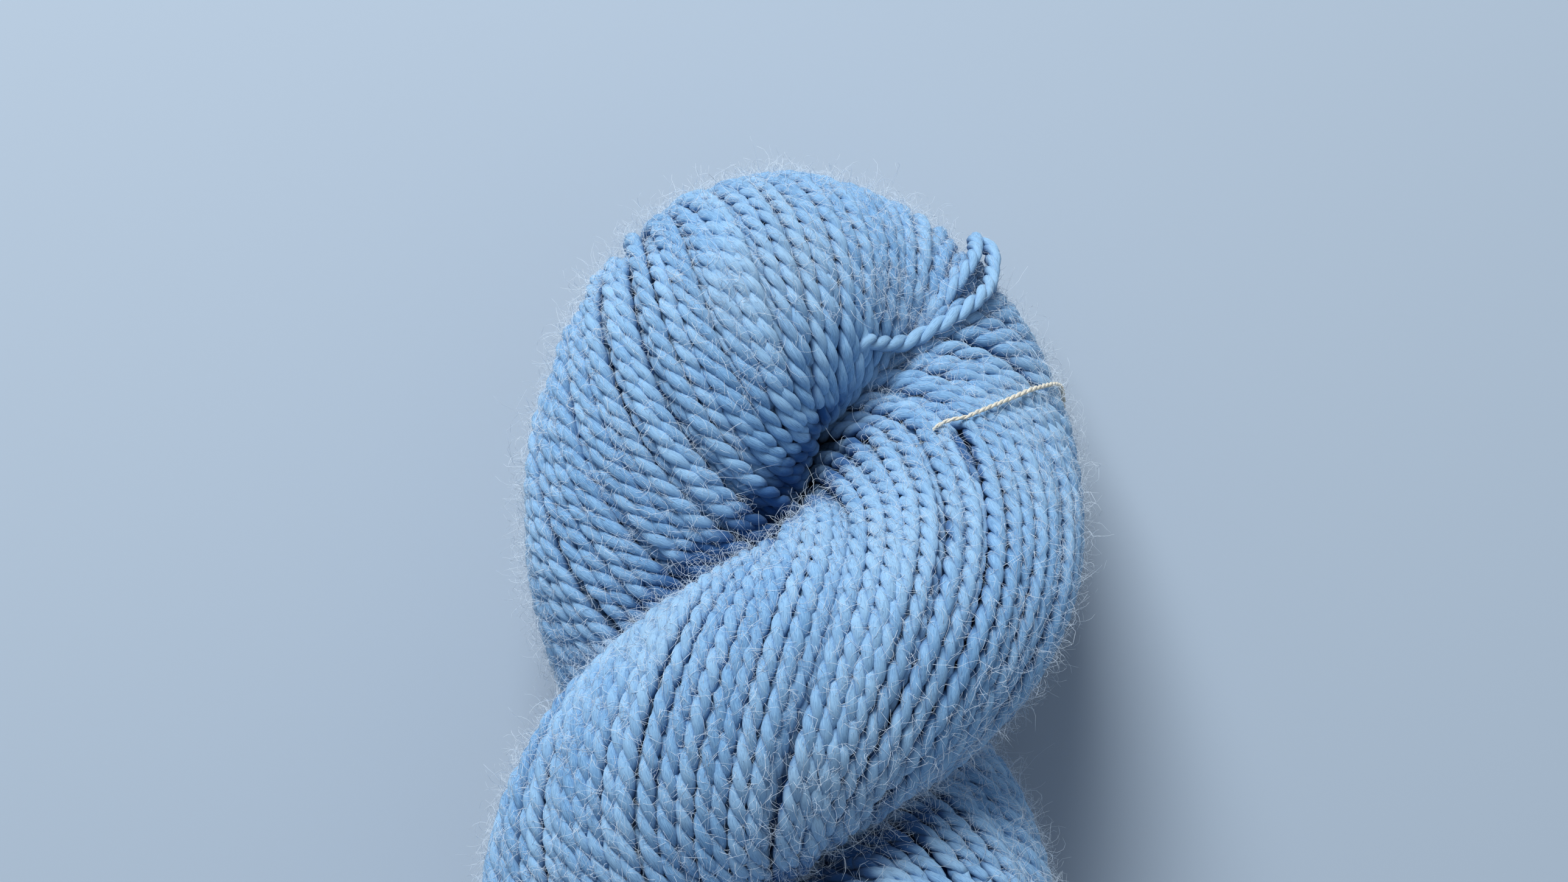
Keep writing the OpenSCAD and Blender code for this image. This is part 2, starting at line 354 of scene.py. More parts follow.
def plies(p, s, up, seed, d=YARN_D, sides=8, pitch=PLY_PITCH, tone=0.0, fat=None):
    """Rings and attributes of the two plies that twist about each other along the path p."""
    g = np.random.default_rng(seed)
    n, b = steady_side(p)
    start = g.uniform(0, 2 * math.pi)
    a = -2 * math.pi * s / pitch + start + 0.7 * wave(s / 11.0, seed + 7)
    thick = (1 + 0.10 * wave(s / 5.0, seed + 3)) * (1 if fat is None else fat)
    q = 2 * math.pi * np.arange(sides) / sides
    out = []
    for ply in (0, 1):
        ap = (a + math.pi * ply)[:, None]
        away = np.cos(ap) * n + np.sin(ap) * b
        c = p + (0.225 * d * thick)[:, None] * away
        t = unit(np.gradient(c, axis=0))
        away = unit(away - (away * t).sum(1, keepdims=True) * t)
        across = np.cross(t, away)
        r = 0.28 * d * thick * (1 + 0.06 * wave(s / 3.1, seed + 11 + ply))
        cq, sq = np.cos(q)[None, :, None], np.sin(q)[None, :, None]
        section = 0.92 * cq * away[:, None, :] + 1.1 * sq * across[:, None, :]
        rings = c[:, None, :] + r[:, None, None] * section
        fibre = q[None, :] + ap
        high = ((rings - p[:, None, :]) * up[:, None, :]).sum(-1) / (0.5 * d)
        size = np.ones_like(fibre)
        # The last value is painted shade: it grows on the side of each ply that faces away from the way out,
        # into the valleys between the rounds.
        values = np.stack(
            [np.cos(fibre), np.sin(fibre), s[:, None] * size + 37.0 * ply + 11.3 * (seed % 89),
             tone * size + 0.25 * (ply - 0.5), np.clip(0.5 - 0.5 * high, 0, 1)], -1)
        out.append((rings, values))
    return out


def yarn(tubes, p, up, seed, step=0.5, **options):
    s, (p, up) = by_step(p, step, up)
    for rings, values in plies(p, s, unit(up), seed, **options):
        tubes.add(rings, values)


# ---------------------------------------------------------------- materials
def new_material(name):
    m = bpy.data.materials.new(name)
    m.use_nodes = True
    return m, m.node_tree, m.node_tree.nodes["Principled BSDF"]


def node(tree, kind, **values):
    n = tree.nodes.new(kind)
    for key, value in values.items():
        if key in n.inputs:
            n.inputs[key].default_value = value
        else:
            setattr(n, key, value)
    return n


def attribute(tree, name):
    return node(tree, "ShaderNodeAttribute", attribute_name=name).outputs["Fac"]


def maths(tree, operation, a, b=0.0, c=0.0):
    n = node(tree, "ShaderNodeMath", operation=operation)
    for socket, value in zip(n.inputs, (a, b, c)):
        if isinstance(value, (int, float)):
            socket.default_value = value
        else:
            tree.links.new(value, socket)
    return n.outputs[0]


def mapped(tree, value, a, b, to_a, to_b):
    n = node(tree, "ShaderNodeMapRange", interpolation_type="SMOOTHSTEP")
    tree.links.new(value, n.inputs[0])
    for k, v in zip((1, 2, 3, 4), (a, b, to_a, to_b)):
        n.inputs[k].default_value = v
    return n.outputs[0]


def mixed(tree, factor, a, b, blend="MIX"):
    n = node(tree, "ShaderNodeMix", data_type="RGBA", blend_type=blend)
    for socket, value in ((n.inputs[0], factor), (n.inputs[6], a), (n.inputs[7], b)):
        if isinstance(value, (int, float, tuple)):
            socket.default_value = value
        else:
            tree.links.new(value, socket)
    return n.outputs[2]


def noise(tree, vector, scale, detail=2.0, roughness=0.5):
    n = node(tree, "ShaderNodeTexNoise", Scale=scale, Detail=detail, Roughness=roughness)
    tree.links.new(vector, n.inputs["Vector"])
    return n.outputs["Fac"]


def wool(name, light, mid, dark, grey):
    """Semi-solid dyed wool with fibre streaks.

    Its colour drifts along the yarn, and painted shade darkens it to a deeper blue between the rounds."""
    m, tree, b = new_material(name)
    xyz = node(tree, "ShaderNodeCombineXYZ")
    tree.links.new(maths(tree, "MULTIPLY", attribute(tree, "fib_x"), 2.2), xyz.inputs[0])
    tree.links.new(maths(tree, "MULTIPLY", attribute(tree, "fib_y"), 2.2), xyz.inputs[1])
    tree.links.new(maths(tree, "MULTIPLY", attribute(tree, "len"), 0.55), xyz.inputs[2])
    streak = noise(tree, xyz.outputs[0], 3.4, 4.0, 0.7)
    drift = node(tree, "ShaderNodeCombineXYZ")
    tree.links.new(attribute(tree, "len"), drift.inputs[2])
    tree.links.new(attribute(tree, "tone"), drift.inputs[0])
    dye = noise(tree, drift.outputs[0], 0.09, 2.0)
    place_at = node(tree, "ShaderNodeNewGeometry").outputs["Position"]
    cloud = noise(tree, place_at, 60.0, 2.0)
    shade = maths(tree, "ADD", maths(tree, "MULTIPLY", dye, 0.9), maths(tree, "MULTIPLY", cloud, 0.7))
    shade = maths(tree, "ADD", shade, maths(tree, "MULTIPLY", attribute(tree, "tone"), 0.16))
    colour = mixed(tree, mapped(tree, shade, 0.55, 1.05, 0, 1), mid, light)
    colour = mixed(tree, mapped(tree, cloud, 0.5, 0.72, 0, 0.55), colour, grey)
    colour = mixed(tree, mapped(tree, streak, 0.45, 0.66, 0.0, 0.75), colour, light)
    colour = mixed(tree, mapped(tree, streak, 0.5, 0.32, 0.0, 0.45), colour, dark)
    # Painted shade: the colour goes towards the dark blue in the valleys between the rounds and in the
    # creases.
    colour = mixed(tree, mapped(tree, attribute(tree, "painted_shade"), 0.28, 0.85, 0.0, 0.95), colour, dark)
    tree.links.new(colour, b.inputs["Base Color"])
    b.inputs["Roughness"].default_value = 0.85
    b.inputs["Specular IOR Level"].default_value = 0.25
    b.inputs["Sheen Weight"].default_value = 0.35
    b.inputs["Sheen Roughness"].default_value = 0.45
    b.inputs["Sheen Tint"].default_value = (0.62, 0.85, 1, 1)
    relief = node(tree, "ShaderNodeBump", Strength=0.8, Distance=0.00015)
    tree.links.new(streak, relief.inputs["Height"])
    tree.links.new(relief.outputs[0], b.inputs["Normal"])
    return m


def plain_fibre(name, colour, sheen):
    """One even colour: fibres too fine to show any pattern, or the filling, seen only in gaps."""
    m, _, b = new_material(name)
    b.inputs["Base Color"].default_value = colour
    b.inputs["Roughness"].default_value = 0.6
    b.inputs["Sheen Weight"].default_value = sheen
    b.inputs["Sheen Tint"].default_value = (0.85, 0.93, 1, 1)
    return m


THREAD_LIGHT = (0.86, 0.83, 0.72, 1)
THREAD_DARK = (0.62, 0.57, 0.44, 1)
THREAD_GROOVE_SHADE = (0.36, 0.36, 0.34, 1)


def thread_paint():
    """Undyed cream cotton, with painted shade in the grooves of its twist."""
    m, tree, b = new_material("cream_thread")
    xyz = node(tree, "ShaderNodeCombineXYZ")
    tree.links.new(attribute(tree, "fib_x"), xyz.inputs[0])
    tree.links.new(attribute(tree, "fib_y"), xyz.inputs[1])
    tree.links.new(attribute(tree, "len"), xyz.inputs[2])
    streak = noise(tree, xyz.outputs[0], 3.0, 2.0)
    groove_shade = mapped(tree, attribute(tree, "painted_shade"), 0.55, 1, 0, 0.6)
    colour = mixed(tree, mapped(tree, streak, 0.3, 0.7, 0, 1), THREAD_DARK, THREAD_LIGHT)
    colour = mixed(tree, groove_shade, colour, THREAD_GROOVE_SHADE)
    tree.links.new(colour, b.inputs["Base Color"])
    b.inputs["Roughness"].default_value = 0.8
    b.inputs["Sheen Weight"].default_value = 0.3
    return m


LIGHT, MID = (0.36, 0.62, 0.90, 1), (0.18, 0.40, 0.70, 1)
DARK_STREAK_AND_SHADE, GREY = (0.020, 0.11, 0.33, 1), (0.33, 0.51, 0.70, 1)
WOOL = wool("blue_wool", LIGHT, MID, DARK_STREAK_AND_SHADE, GREY)
# The filling's dark blue is painted shade, for the shadow seen through the gaps between the rounds.
PAINTED_SHADE_CORE = plain_fibre("wool_core_painted_shade", (0.02, 0.11, 0.32, 1), 0.2)
# The fuzz is painted paler than the wool, as a highlight for the light its fine fibres catch.
FUZZ_PAINTED_HIGHLIGHT = plain_fibre("wool_fuzz_painted_highlight", (0.72, 0.84, 0.95, 1), 0.0)
THREAD = thread_paint()

# ---------------------------------------------------------------- rounds of yarn on the head and the legs
# Of each outer round: its centre points, the way out, the way along, and the place along the bundle.
CLOUD = []


def split_rounds(layer, sides, fine, coarse):
    """All rounds of one layer, parted into pieces at the cuts: tubes for each stretch."""
    cuts = [-LEG_END, -LEG_CUT, -HEAD_CUT]
    cuts = cuts + [HEAD_LEN - cut for cut in reversed(cuts)]
    parts = [[Tubes() for _ in range(3 if (k == 2 and layer == 0) else 1)] for k in range(5)]
    for i in range(STRANDS):
        u = np.arange(cuts[0], cuts[-1], 0.35)
        p, up = round_path(i + 0.5 * layer, u, UNDER_DEPTH * layer)
        step = np.where((u > cuts[2]) & (u < cuts[3]), fine, coarse)
        s, (p, up, u) = by_step(p, step, up, u)
        up = unit(up)
        tone = np.random.default_rng(5000 + i).uniform(-1, 1)
        if layer == 0:
            CLOUD.append((p, up, unit(np.gradient(p, axis=0)), u))
        edges = np.searchsorted(u, cuts)
        for rings, values in plies(p, s, up, 1000 + i + 40 * layer, sides=sides, tone=tone):
            for k in range(5):
                a, z = edges[k], min(edges[k + 1] + 1, len(u))
                group = parts[k][i * len(parts[k]) // STRANDS]
                group.add(rings[a:z], values[a:z])
    return parts


def grid(first, last, count, sides):
    """Places along a piece, and angles once round it, as a grid."""
    around = np.linspace(0, 2 * math.pi, sides, endpoint=False)
    return np.meshgrid(np.linspace(first, last, count), around, indexing="ij")


def core(u0, u1, depth):
    """Filling under the rounds, painted dark blue as the shade seen in the gaps between them."""
    u, phi = grid(u0, u1, int(abs(u1 - u0) / 1.2), 36)
    rings = place(surface(u, phi, bundle_radius(u) - depth), depth)
    tubes = Tubes()
    tubes.add(rings, np.zeros(rings.shape[:2] + (len(ATTRIBUTES),)))
    return tubes


def bend_with(o):
    """Bakes the place of a piece that spans a joint of the hank into its mesh."""
    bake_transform(o)


STRETCHES = [
    ("lower_a", "middle", "tail", LOWER_BEND, (-LEG_END, -LEG_CUT)),
    ("upper_a", "head", "middle", UPPER_BEND, (-LEG_CUT, -HEAD_CUT)),
    ("head", "head", None, 0, (-HEAD_CUT, HEAD_LEN + HEAD_CUT)),
    ("upper_b", "head", "middle", UPPER_BEND, (HEAD_LEN + HEAD_CUT, HEAD_LEN + LEG_CUT)),
    ("lower_b", "middle", "tail", LOWER_BEND, (HEAD_LEN + LEG_CUT, HEAD_LEN + LEG_END)),
]
STANDS_FOR = {
    "lower_a": ["leg_a_lower"], "upper_a": ["leg_a_middle"],
    "head": ["head_loop", "leg_a_upper", "leg_b_upper"],
    "upper_b": ["leg_b_middle"], "lower_b": ["leg_b_lower"],
}


def attach(o, first, second):
    if second is None:
        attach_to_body(o, first)
    else:
        bend_with(o)


outer = split_rounds(0, 8, 0.5, 0.62)
under = split_rounds(1, 5, 0.8, 1.0)
for k, (name, first, second, at, (u0, u1)) in enumerate(STRETCHES):
    for g, tubes in enumerate(outer[k]):
        o = tubes.mesh(f"rounds_{name}_{g + 1}", WOOL)
        attach(o, first, second)
        if g == 0:
            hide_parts(*STANDS_FOR[name])
    o = under[k][0].mesh(f"under_rounds_{name}", WOOL)
    attach(o, first, second)
    o = core(u0, u1, CORE_DEPTH).mesh(f"core_{name}", PAINTED_SHADE_CORE)
    attach(o, first, second)

CENTRES = np.concatenate([c[0] for c in CLOUD])
OUTWARD = np.concatenate([c[1] for c in CLOUD])
ALONG = np.concatenate([c[2] for c in CLOUD])
AT_U = np.concatenate([c[3] for c in CLOUD])

# ---------------------------------------------------------------- painted shade in the creases
CELL = 0.5  # of the height map seen from above, in millimetres


def blurred(heights, reach):
    """The height map, smoothed along and across."""
    k = np.exp(-0.5 * (np.arange(-3 * reach, 3 * reach + 1) / reach) ** 2)
    k = k / k.sum()
    for axis in (0, 1):
        heights = np.apply_along_axis(lambda row: np.convolve(row, k, "same"), axis, heights)
    return heights


def hollows():
    """Height of the rounds seen from above, and how far each place lies below what is round it."""
    low = CENTRES.min(0)[:2] - 8
    cell = ((CENTRES[:, :2] - low) / CELL).astype(int)
    top = np.zeros(cell.max(0) + 18)
    np.maximum.at(top, (cell[:, 0], cell[:, 1]), CENTRES[:, 2])
    for shift in ((1, 0), (-1, 0), (0, 1), (0, -1)):
        top = np.maximum(top, np.roll(top, shift, (0, 1)))
    return low, top, blurred(top, 11) - blurred(top, 2)


def paint_crease_shade(o):
    """Paints shade into the blue of a mesh where its rounds lie in a hollow seen from above.

    Only the upper side changes, because the height map knows nothing of the rest."""
    me = o.data
    co = np.empty(len(me.vertices) * 3, np.float32)
    me.vertices.foreach_get("co", co)
    co = co.reshape(-1, 3) / MM
    cell = ((co[:, :2] - LOW) / CELL).astype(int)
    cell = np.clip(cell, 0, np.array(TOP.shape) - 1)
    near = ease((co[:, 2] - TOP[cell[:, 0], cell[:, 1]] + 6) / 3) * ease((co[:, 2] - 20) / 6)
    layer = me.attributes["painted_shade"].data
    painted_shade = np.empty(len(co), np.float32)
    layer.foreach_get("value", painted_shade)
    painted_shade += HOLLOW_SHADE * near * ease((HOLLOW[cell[:, 0], cell[:, 1]] - 0.3) / 3.2)
    layer.foreach_set("value", painted_shade.astype(np.float32))


HOLLOW_SHADE = 0.7
LOW, TOP, HOLLOW = hollows()
for o in list(bpy.data.objects):
    if o.name.startswith(("rounds_", "under_rounds_")):
        paint_crease_shade(o)

# ---------------------------------------------------------------- collar and tucked end
TAIL_Z = AXIS_Z - TAIL_DROOP
COLLAR_TURNS, COLLAR_SHIFT = 17, 3
BULB_GAP = 0.3  # between the collar and the tucked end


def collar():
    """One length of yarn wound 17 times round a ring, each turn a little further round its section."""
    across, thick = COLLAR_W / 2 - 1.0, (COLLAR_R - HOLE_R) / 2 - 1.0
    mid_r = (COLLAR_R + HOLE_R) / 2
    a = np.linspace(0, 2 * math.pi * COLLAR_TURNS, 300 * COLLAR_TURNS)
    f = a * COLLAR_SHIFT / COLLAR_TURNS + 0.12 * wave(a / 0.9, 71)
    r = mid_r + thick * np.cos(f) + 0.2 * wave(a / 0.5, 72)
    y = -COLLAR_AT - COLLAR_W / 2 + across * np.sin(f) + 0.2 * wave(a / 0.7, 73)
    z = rest_on_floor(TAIL_Z + r * np.sin(a), 1.0)
    p = np.stack([r * np.cos(a), y + EYE_Y, z], -1)
    up = np.stack([np.cos(f) * np.cos(a), np.sin(f), np.cos(f) * np.sin(a)], -1)
    tubes = Tubes()
    yarn(tubes, p, up, 2001, 0.55)
    return tubes, p, up


def bulb_profile(a):
    """Radius and distance from the collar's front of the tucked end, for an angle a from its tip."""
    length = TIP_AT - COLLAR_AT - COLLAR_W - 1.3
    t = np.clip((a - math.pi / 2) / (0.3 * math.pi), 0, 1)
    neck = np.clip((a - 0.8 * math.pi) / (0.2 * math.pi), 0, 1)
    front = BULB_R * np.sin(np.clip(a, 0, math.pi / 2)) ** 0.8
    back = NECK_R + (BULB_R - NECK_R) * np.cos(t * math.pi / 2)
    y_front = COLLAR_W + 1 + length * (0.45 + 0.55 * np.cos(np.clip(a, 0, math.pi / 2)))
    y_back = COLLAR_W + 1 + length * 0.45 * (1 - np.sin(t * math.pi / 2)) - (COLLAR_W - 1) * neck
    return np.where(a < math.pi / 2, front, back), np.where(a < math.pi / 2, y_front, y_back)


def on_bulb(x, y, z, sink):
    """A point of the unit sphere, tip at -y, laid on the tucked end."""
    a = np.arccos(np.clip(-y, -1, 1))
    around = np.arctan2(z, x) + 1.1 * (a / math.pi) ** 2
    r, along = bulb_profile(a)
    r = r - 1.0 - sink
    along = along - (1.0 + sink) * np.cos(np.clip(a, 0, math.pi / 2))
    h = rest_on_floor(TAIL_Z + r * np.sin(around), 1.0)
    return np.stack([r * np.cos(around), EYE_Y - COLLAR_AT - BULB_GAP - along, h], -1)


BULB_ROUNDS, BULB_FAN, NECK_FROM = 47, math.radians(70), 0.8 * math.pi


def bulb_round(i, depth):
    """A round that leaves the neck, goes over the tip and comes back into the neck on the other side."""
    lean = BULB_FAN * (2 * (i + 0.5) / BULB_ROUNDS - 1)
    v = np.linspace(0, 2 * math.pi, 400)
    x = -math.sin(lean) * math.cos(lean) * (np.cos(v) - 1)
    y = math.sin(lean) ** 2 + math.cos(lean) ** 2 * np.cos(v)
    z = math.cos(lean) * np.sin(v)
    keep = np.arccos(np.clip(-y, -1, 1)) < NECK_FROM
    x, y, z = x[keep], y[keep], z[keep]
    g = np.random.default_rng(2500 + i)
    sink = depth + 0.2 * wave(np.arange(len(x)) / 25.0, 2600 + i) + g.uniform(-0.15, 0.15)
    crowd = ease((np.arccos(np.clip(-y, -1, 1)) / math.pi - 0.35 - 0.45 * (1 - turn_take(i))) / 0.12)
    p = on_bulb(x, y, z, sink + 1.3 * crowd)
    out = on_bulb(x, y, z, sink + 1.3 * crowd - 1) - p
    reach = np.linspace(0.5, COLLAR_W - 1, 14)[:, None] * np.array([[0, 1, 0]])
    p = np.concatenate([(p[0] + reach)[::-1], p, p[-1] + reach])
    out = np.concatenate([np.repeat(out[:1], 14, 0), out, np.repeat(out[-1:], 14, 0)])
    return p, unit(out)


def bulb():
    tubes = Tubes()
    for i in range(BULB_ROUNDS):
        p, up = bulb_round(i, 0.0)
        yarn(tubes, p, up, 2700 + i, 0.6, sides=7, tone=np.random.default_rng(2800 + i).uniform(-1, 1))
    return tubes


def bulb_core():
    a, f = grid(0.02, math.pi, 60, 48)
    r, along = bulb_profile(a)
    r = np.maximum(r - 3.0, 0.05)
    along = along - 3.0 * np.cos(np.clip(a, 0, math.pi / 2))
    z = rest_on_floor(TAIL_Z + r * np.sin(f), 2.6)
    rings = np.stack([r * np.cos(f), EYE_Y - COLLAR_AT - BULB_GAP - along, z], -1)
    tubes = Tubes()
    tubes.add(rings, np.zeros(rings.shape[:2] + (len(ATTRIBUTES),)))
    return tubes


def collar_core():
    a, f = grid(0, 2 * math.pi, 90, 24)
    r = (COLLAR_R + HOLE_R) / 2 + 2.2 * np.cos(f)
    y = EYE_Y - COLLAR_AT - COLLAR_W / 2 + 5 * np.sin(f)
    rings = np.stack([r * np.cos(a), y, rest_on_floor(TAIL_Z + r * np.sin(a), 2.4)], -1)
    tubes = Tubes()
    tubes.add(rings, np.zeros(rings.shape[:2] + (len(ATTRIBUTES),)))
    return tubes


collar_tubes, COLLAR_P, COLLAR_UP = collar()
o = collar_tubes.mesh("collar_rounds", WOOL)
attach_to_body(o, "tail")
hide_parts("tail_collar")
o = collar_core().mesh("collar_core", PAINTED_SHADE_CORE)
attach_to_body(o, "tail")
o = bulb().mesh("tucked_rounds", WOOL)
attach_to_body(o, "tuck")
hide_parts("tucked_end")
o = bulb_core().mesh("tucked_core", PAINTED_SHADE_CORE)
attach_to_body(o, "tuck")


# ---------------------------------------------------------------- threads and loose yarn on top of the rounds
def lie_on(p, out, radius, reach=1.3):
    """Lifts a path off the rounds along the direction out, so that it lies on their crowns."""
    lift = np.zeros(len(p))
    for i in range(len(p)):
        d = CENTRES - p[i]
        h = d @ out[i]
        near = (np.linalg.norm(d - h[:, None] * out[i], axis=1) < reach) & (np.abs(h) < 6)
        lift[i] = h[near].max() + YARN_D / 2 + radius if near.any() else 0
    smooth = np.convolve(np.pad(lift, 3, mode="edge"), np.ones(7) / 7, "valid")
    return p + np.maximum(smooth, lift - 0.25)[:, None] * out


def loop_round_bundle(at, seed, under):
    """A closed loop round the bundle, with the outward direction along it.

    at(phi) gives the place along the bundle for each angle. Between the two angles in under,
    the loop runs below the outer rounds."""
    phi = np.linspace(0, 2 * math.pi, 181)
    u = at(phi) + 0.25 * np.sin(phi * 2 + seed)
    r = bundle_radius(u)
    p = place(surface(u, phi, r))
    out = unit(place(surface(u, phi, r + 0.6), 0) - place(surface(u, phi, r - 0.6), 0))
    hidden = (ease((phi - under[0]) / 0.4) * ease((under[1] - phi) / 0.4))[:, None]
    return lie_on(p, out, 0.22) * (1 - hidden) + (p - 3.0 * out) * hidden, out


def knot(tubes, at, out, along, seed):
    """A small overhand knot and two short tails."""
    side = unit(np.cross(out, along))
    v = np.linspace(0, 2 * math.pi, 90)
    x, y, z = np.sin(v) + 2 * np.sin(2 * v), np.cos(v) - 2 * np.cos(2 * v), -np.sin(3 * v)
    p = at + 0.3 * (x[:, None] * side + y[:, None] * along + (0.9 * z[:, None] + 1.2) * out)
    yarn(tubes, p, np.repeat(out[None], len(p), 0), seed, 0.16, d=0.5, sides=6, pitch=1.6)
    for k, way in enumerate((1, -1)):
        t = np.linspace(0, 1, 30)[:, None]
        bend = 1.6 * np.sin(2.2 * t + seed) * along * way
        p = at + way * (0.6 + 6.5 * t) * side + bend * t + (0.6 - 0.9 * t * t * (1 + 0.5 * k)) * out
        yarn(tubes, p, np.repeat(out[None], len(p), 0), seed + 5 + k, 0.2, d=0.46, sides=6, pitch=1.6)


def tie(name, at, body, seed, knotted=True, under=(0, 0)):
    tubes = Tubes()
    p, out = loop_round_bundle(at, seed, under)
    yarn(tubes, p, out, 3000 + seed, 0.28, d=0.5, sides=6, pitch=1.7)
    if knotted:
        k = int(np.argmax(p[:, 2]))
        way = unit(np.gradient(p, axis=0)[k])
        knot(tubes, p[k], out[k], way, 3100 + seed)
    o = tubes.mesh(name + "_wound", THREAD)
    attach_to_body(o, body)
    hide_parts(name)


HEAD_TIE_OUTER, HEAD_TIE_RUN = math.radians(29), math.radians(62)
HEAD_TIE_HIDDEN = (1.8, 4.75)


def head_tie_at(f):
    """Place of the head's tie for each angle: it slants from the outer edge toward the eye."""
    return LEG_A * (HEAD_TIE_OUTER - HEAD_TIE_RUN * np.sin(f / 2) ** 2)


def straight_at(name):
    """Place of a tie that lies square to its leg."""
    return lambda f: TIES[name] + 0 * f


tie("tie_thread_head", head_tie_at, "head", 1, False, HEAD_TIE_HIDDEN)
tie("tie_thread_a", straight_at("tie_thread_a"), "middle", 2)
tie("tie_thread_b", straight_at("tie_thread_b"), "middle", 3)
tie("tie_thread_tail", straight_at("tie_thread_tail"), "tail", 4)


def smooth_path(points, count):
    """Catmull-Rom curve through a few points."""
    q = np.array([points[0]] + list(points) + [points[-1]], float)
    n = len(points) - 1
    t = np.linspace(0, n - 1e-9, count)
    i = t.astype(int)
    f = (t - i)[:, None]
    a, b, c, d = q[i], q[i + 1], q[i + 2], q[i + 3]
    return 0.5 * (2 * b + (c - a) * f + (2 * a - 5 * b + 4 * c - d) * f**2 + (3 * b - a - 3 * c + d) * f**3)


def stray():
    """A round that has worked loose: along the crease, a small hairpin past the outline, and back under."""
    # Degrees round the fold, degrees round the bundle from its outer edge, height above the rounds.
    way = [(41, -112, -1.6), (44, -92, -0.2), (49, -66, 0.1), (55, -42, 0.2), (59.5, -22, 0.5), (63, -7, 1.1),
           (65, -6, 1.0), (65.5, -22, 0.4), (65.5, -42, 0.0), (66, -60, -0.9), (67, -76, -2.2)]
    w = smooth_path(way, 120)
    u, phi = LEG_A * np.radians(w[:, 0]), np.radians(w[:, 1])
    r = bundle_radius(u)
    p = place(surface(u, phi, r))
    out = unit(place(surface(u, phi, r + 0.6), 0) - place(surface(u, phi, r - 0.6), 0))
    p = lie_on(p, out, 0.26 * YARN_D, 1.0) + w[:, 2:] * out
    tubes = Tubes()
    yarn(tubes, p, out, 3301, 0.4, d=1.6, tone=0.8)
    o = tubes.mesh("stray_round", WOOL)
    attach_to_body(o, "head")
    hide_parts("stray_yarn")


def loose_end():
    """The free end of the yarn, laid along leg B, thinning out at its tip."""
    u = HEAD_LEN + np.linspace(150, 121, 120)
    t = np.linspace(0, 1, 120)
    phi = np.radians(-34 + 60 * t)
    r = bundle_radius(u)
    p = place(surface(u, phi, r))
    out = unit(place(surface(u, phi, r + 0.6), 0) - place(surface(u, phi, r - 0.6), 0))
    rise = 1.6 * ease((t - 0.75) / 0.25) - 2.4 * ease((0.12 - t) / 0.12)
    p = lie_on(p, out, 0.3 * YARN_D, 1.0) + rise[:, None] * out
    s, (p, out, t) = by_step(p, 0.4, out, t)
    tubes = Tubes()
    fat = 1 - 0.75 * ease((t - 0.82) / 0.18)
    for rings, values in plies(p, s, unit(out), 3401, d=1.85, tone=0.6, fat=fat):
        tubes.add(rings, values)
    o = tubes.mesh("loose_yarn_end", WOOL)
    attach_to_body(o, "middle")
    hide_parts("yarn_end")


stray()
loose_end()

# ---------------------------------------------------------------- fuzz
FIBRE_R = 0.019
SEGMENTS = 5


def fibres(count, centres, outward, along, seed, reach=(2.0, 5.0), rise=0.4, open_ratio=0.16):
    """Fine curled fibres on the yarn. Most lie along it, and the share open_ratio stands off."""
    g = np.random.default_rng(seed)
    pick = g.integers(0, len(centres), count)
    up, way = outward[pick], along[pick]
    side = unit(np.cross(way, up))
    lean = g.uniform(-1.2, 1.2, count)[:, None]
    normal = np.cos(lean) * up + np.sin(lean) * side
    p = centres[pick] + 0.44 * YARN_D * normal
    turn = g.uniform(0, 2 * math.pi, count)[:, None]
    open_out = (g.uniform(0, 1, count) < open_ratio)[:, None]
    climb = np.where(open_out, g.uniform(0.5, 1.5, (count, 1)), g.uniform(0.1, rise, (count, 1)))
    d = unit(np.cos(turn) * way + 0.8 * np.sin(turn) * side + climb * normal)
    length = g.uniform(*reach, count) * np.where(g.uniform(0, 1, count) < 0.06, 1.6, 1.0)
    ds = (length / SEGMENTS)[:, None]
    curl = unit(g.normal(size=(count, 3))) * g.gamma(2.2, 0.6, count)[:, None]
    crimp = unit(g.normal(size=(count, 3))) * g.uniform(0.1, 0.5, count)[:, None]
    phase = g.uniform(0, 2 * math.pi, count)[:, None]
    path = [p]
    for k in range(SEGMENTS):
        turn_by = np.cross(curl, d) * ds + crimp * np.sin(2.2 * k + phase)
        d = unit(d + turn_by - 0.10 * ds * normal * ~open_out)
        p = p + d * ds
        path.append(p)
    path = np.stack(path, 1)
    low = path[..., 2]
    path[..., 2] = np.where(low < 0.1, 0.1 + 0.05 * np.abs(low - 0.1), low)
    t = unit(np.gradient(path, axis=1))
    n = unit(np.cross(t, unit(g.normal(size=(count, 3)))[:, None, :]))
    b = np.cross(t, n)
    r = FIBRE_R * g.uniform(0.7, 1.25, count)[:, None] * np.linspace(1, 0.45, SEGMENTS + 1)[None, :]
    q = 2 * math.pi * np.arange(3) / 3
    cq, sq = np.cos(q)[None, None, :, None], np.sin(q)[None, None, :, None]
    ring = cq * n[:, :, None, :] + sq * b[:, :, None, :]
    rings = path[:, :, None, :] + r[:, :, None, None] * ring
    return rings, np.zeros(rings.shape[:3] + (len(ATTRIBUTES),))


def shown(u, outward):
    """True for rounds that don't face the other leg or the inside of the head."""
    return (outward * centre(u)[2]).sum(1) > -0.62


def add_fuzz(name, mask, count, seed, first, second=None, at=0, **options):
    keep = mask & shown(AT_U, OUTWARD) & (CENTRES[:, 2] > 2)
    tubes = Tubes()
    tubes.batch(*fibres(count, CENTRES[keep], OUTWARD[keep], ALONG[keep], seed, **options))
    o = tubes.mesh(name, FUZZ_PAINTED_HIGHLIGHT)
    attach(o, first, second)


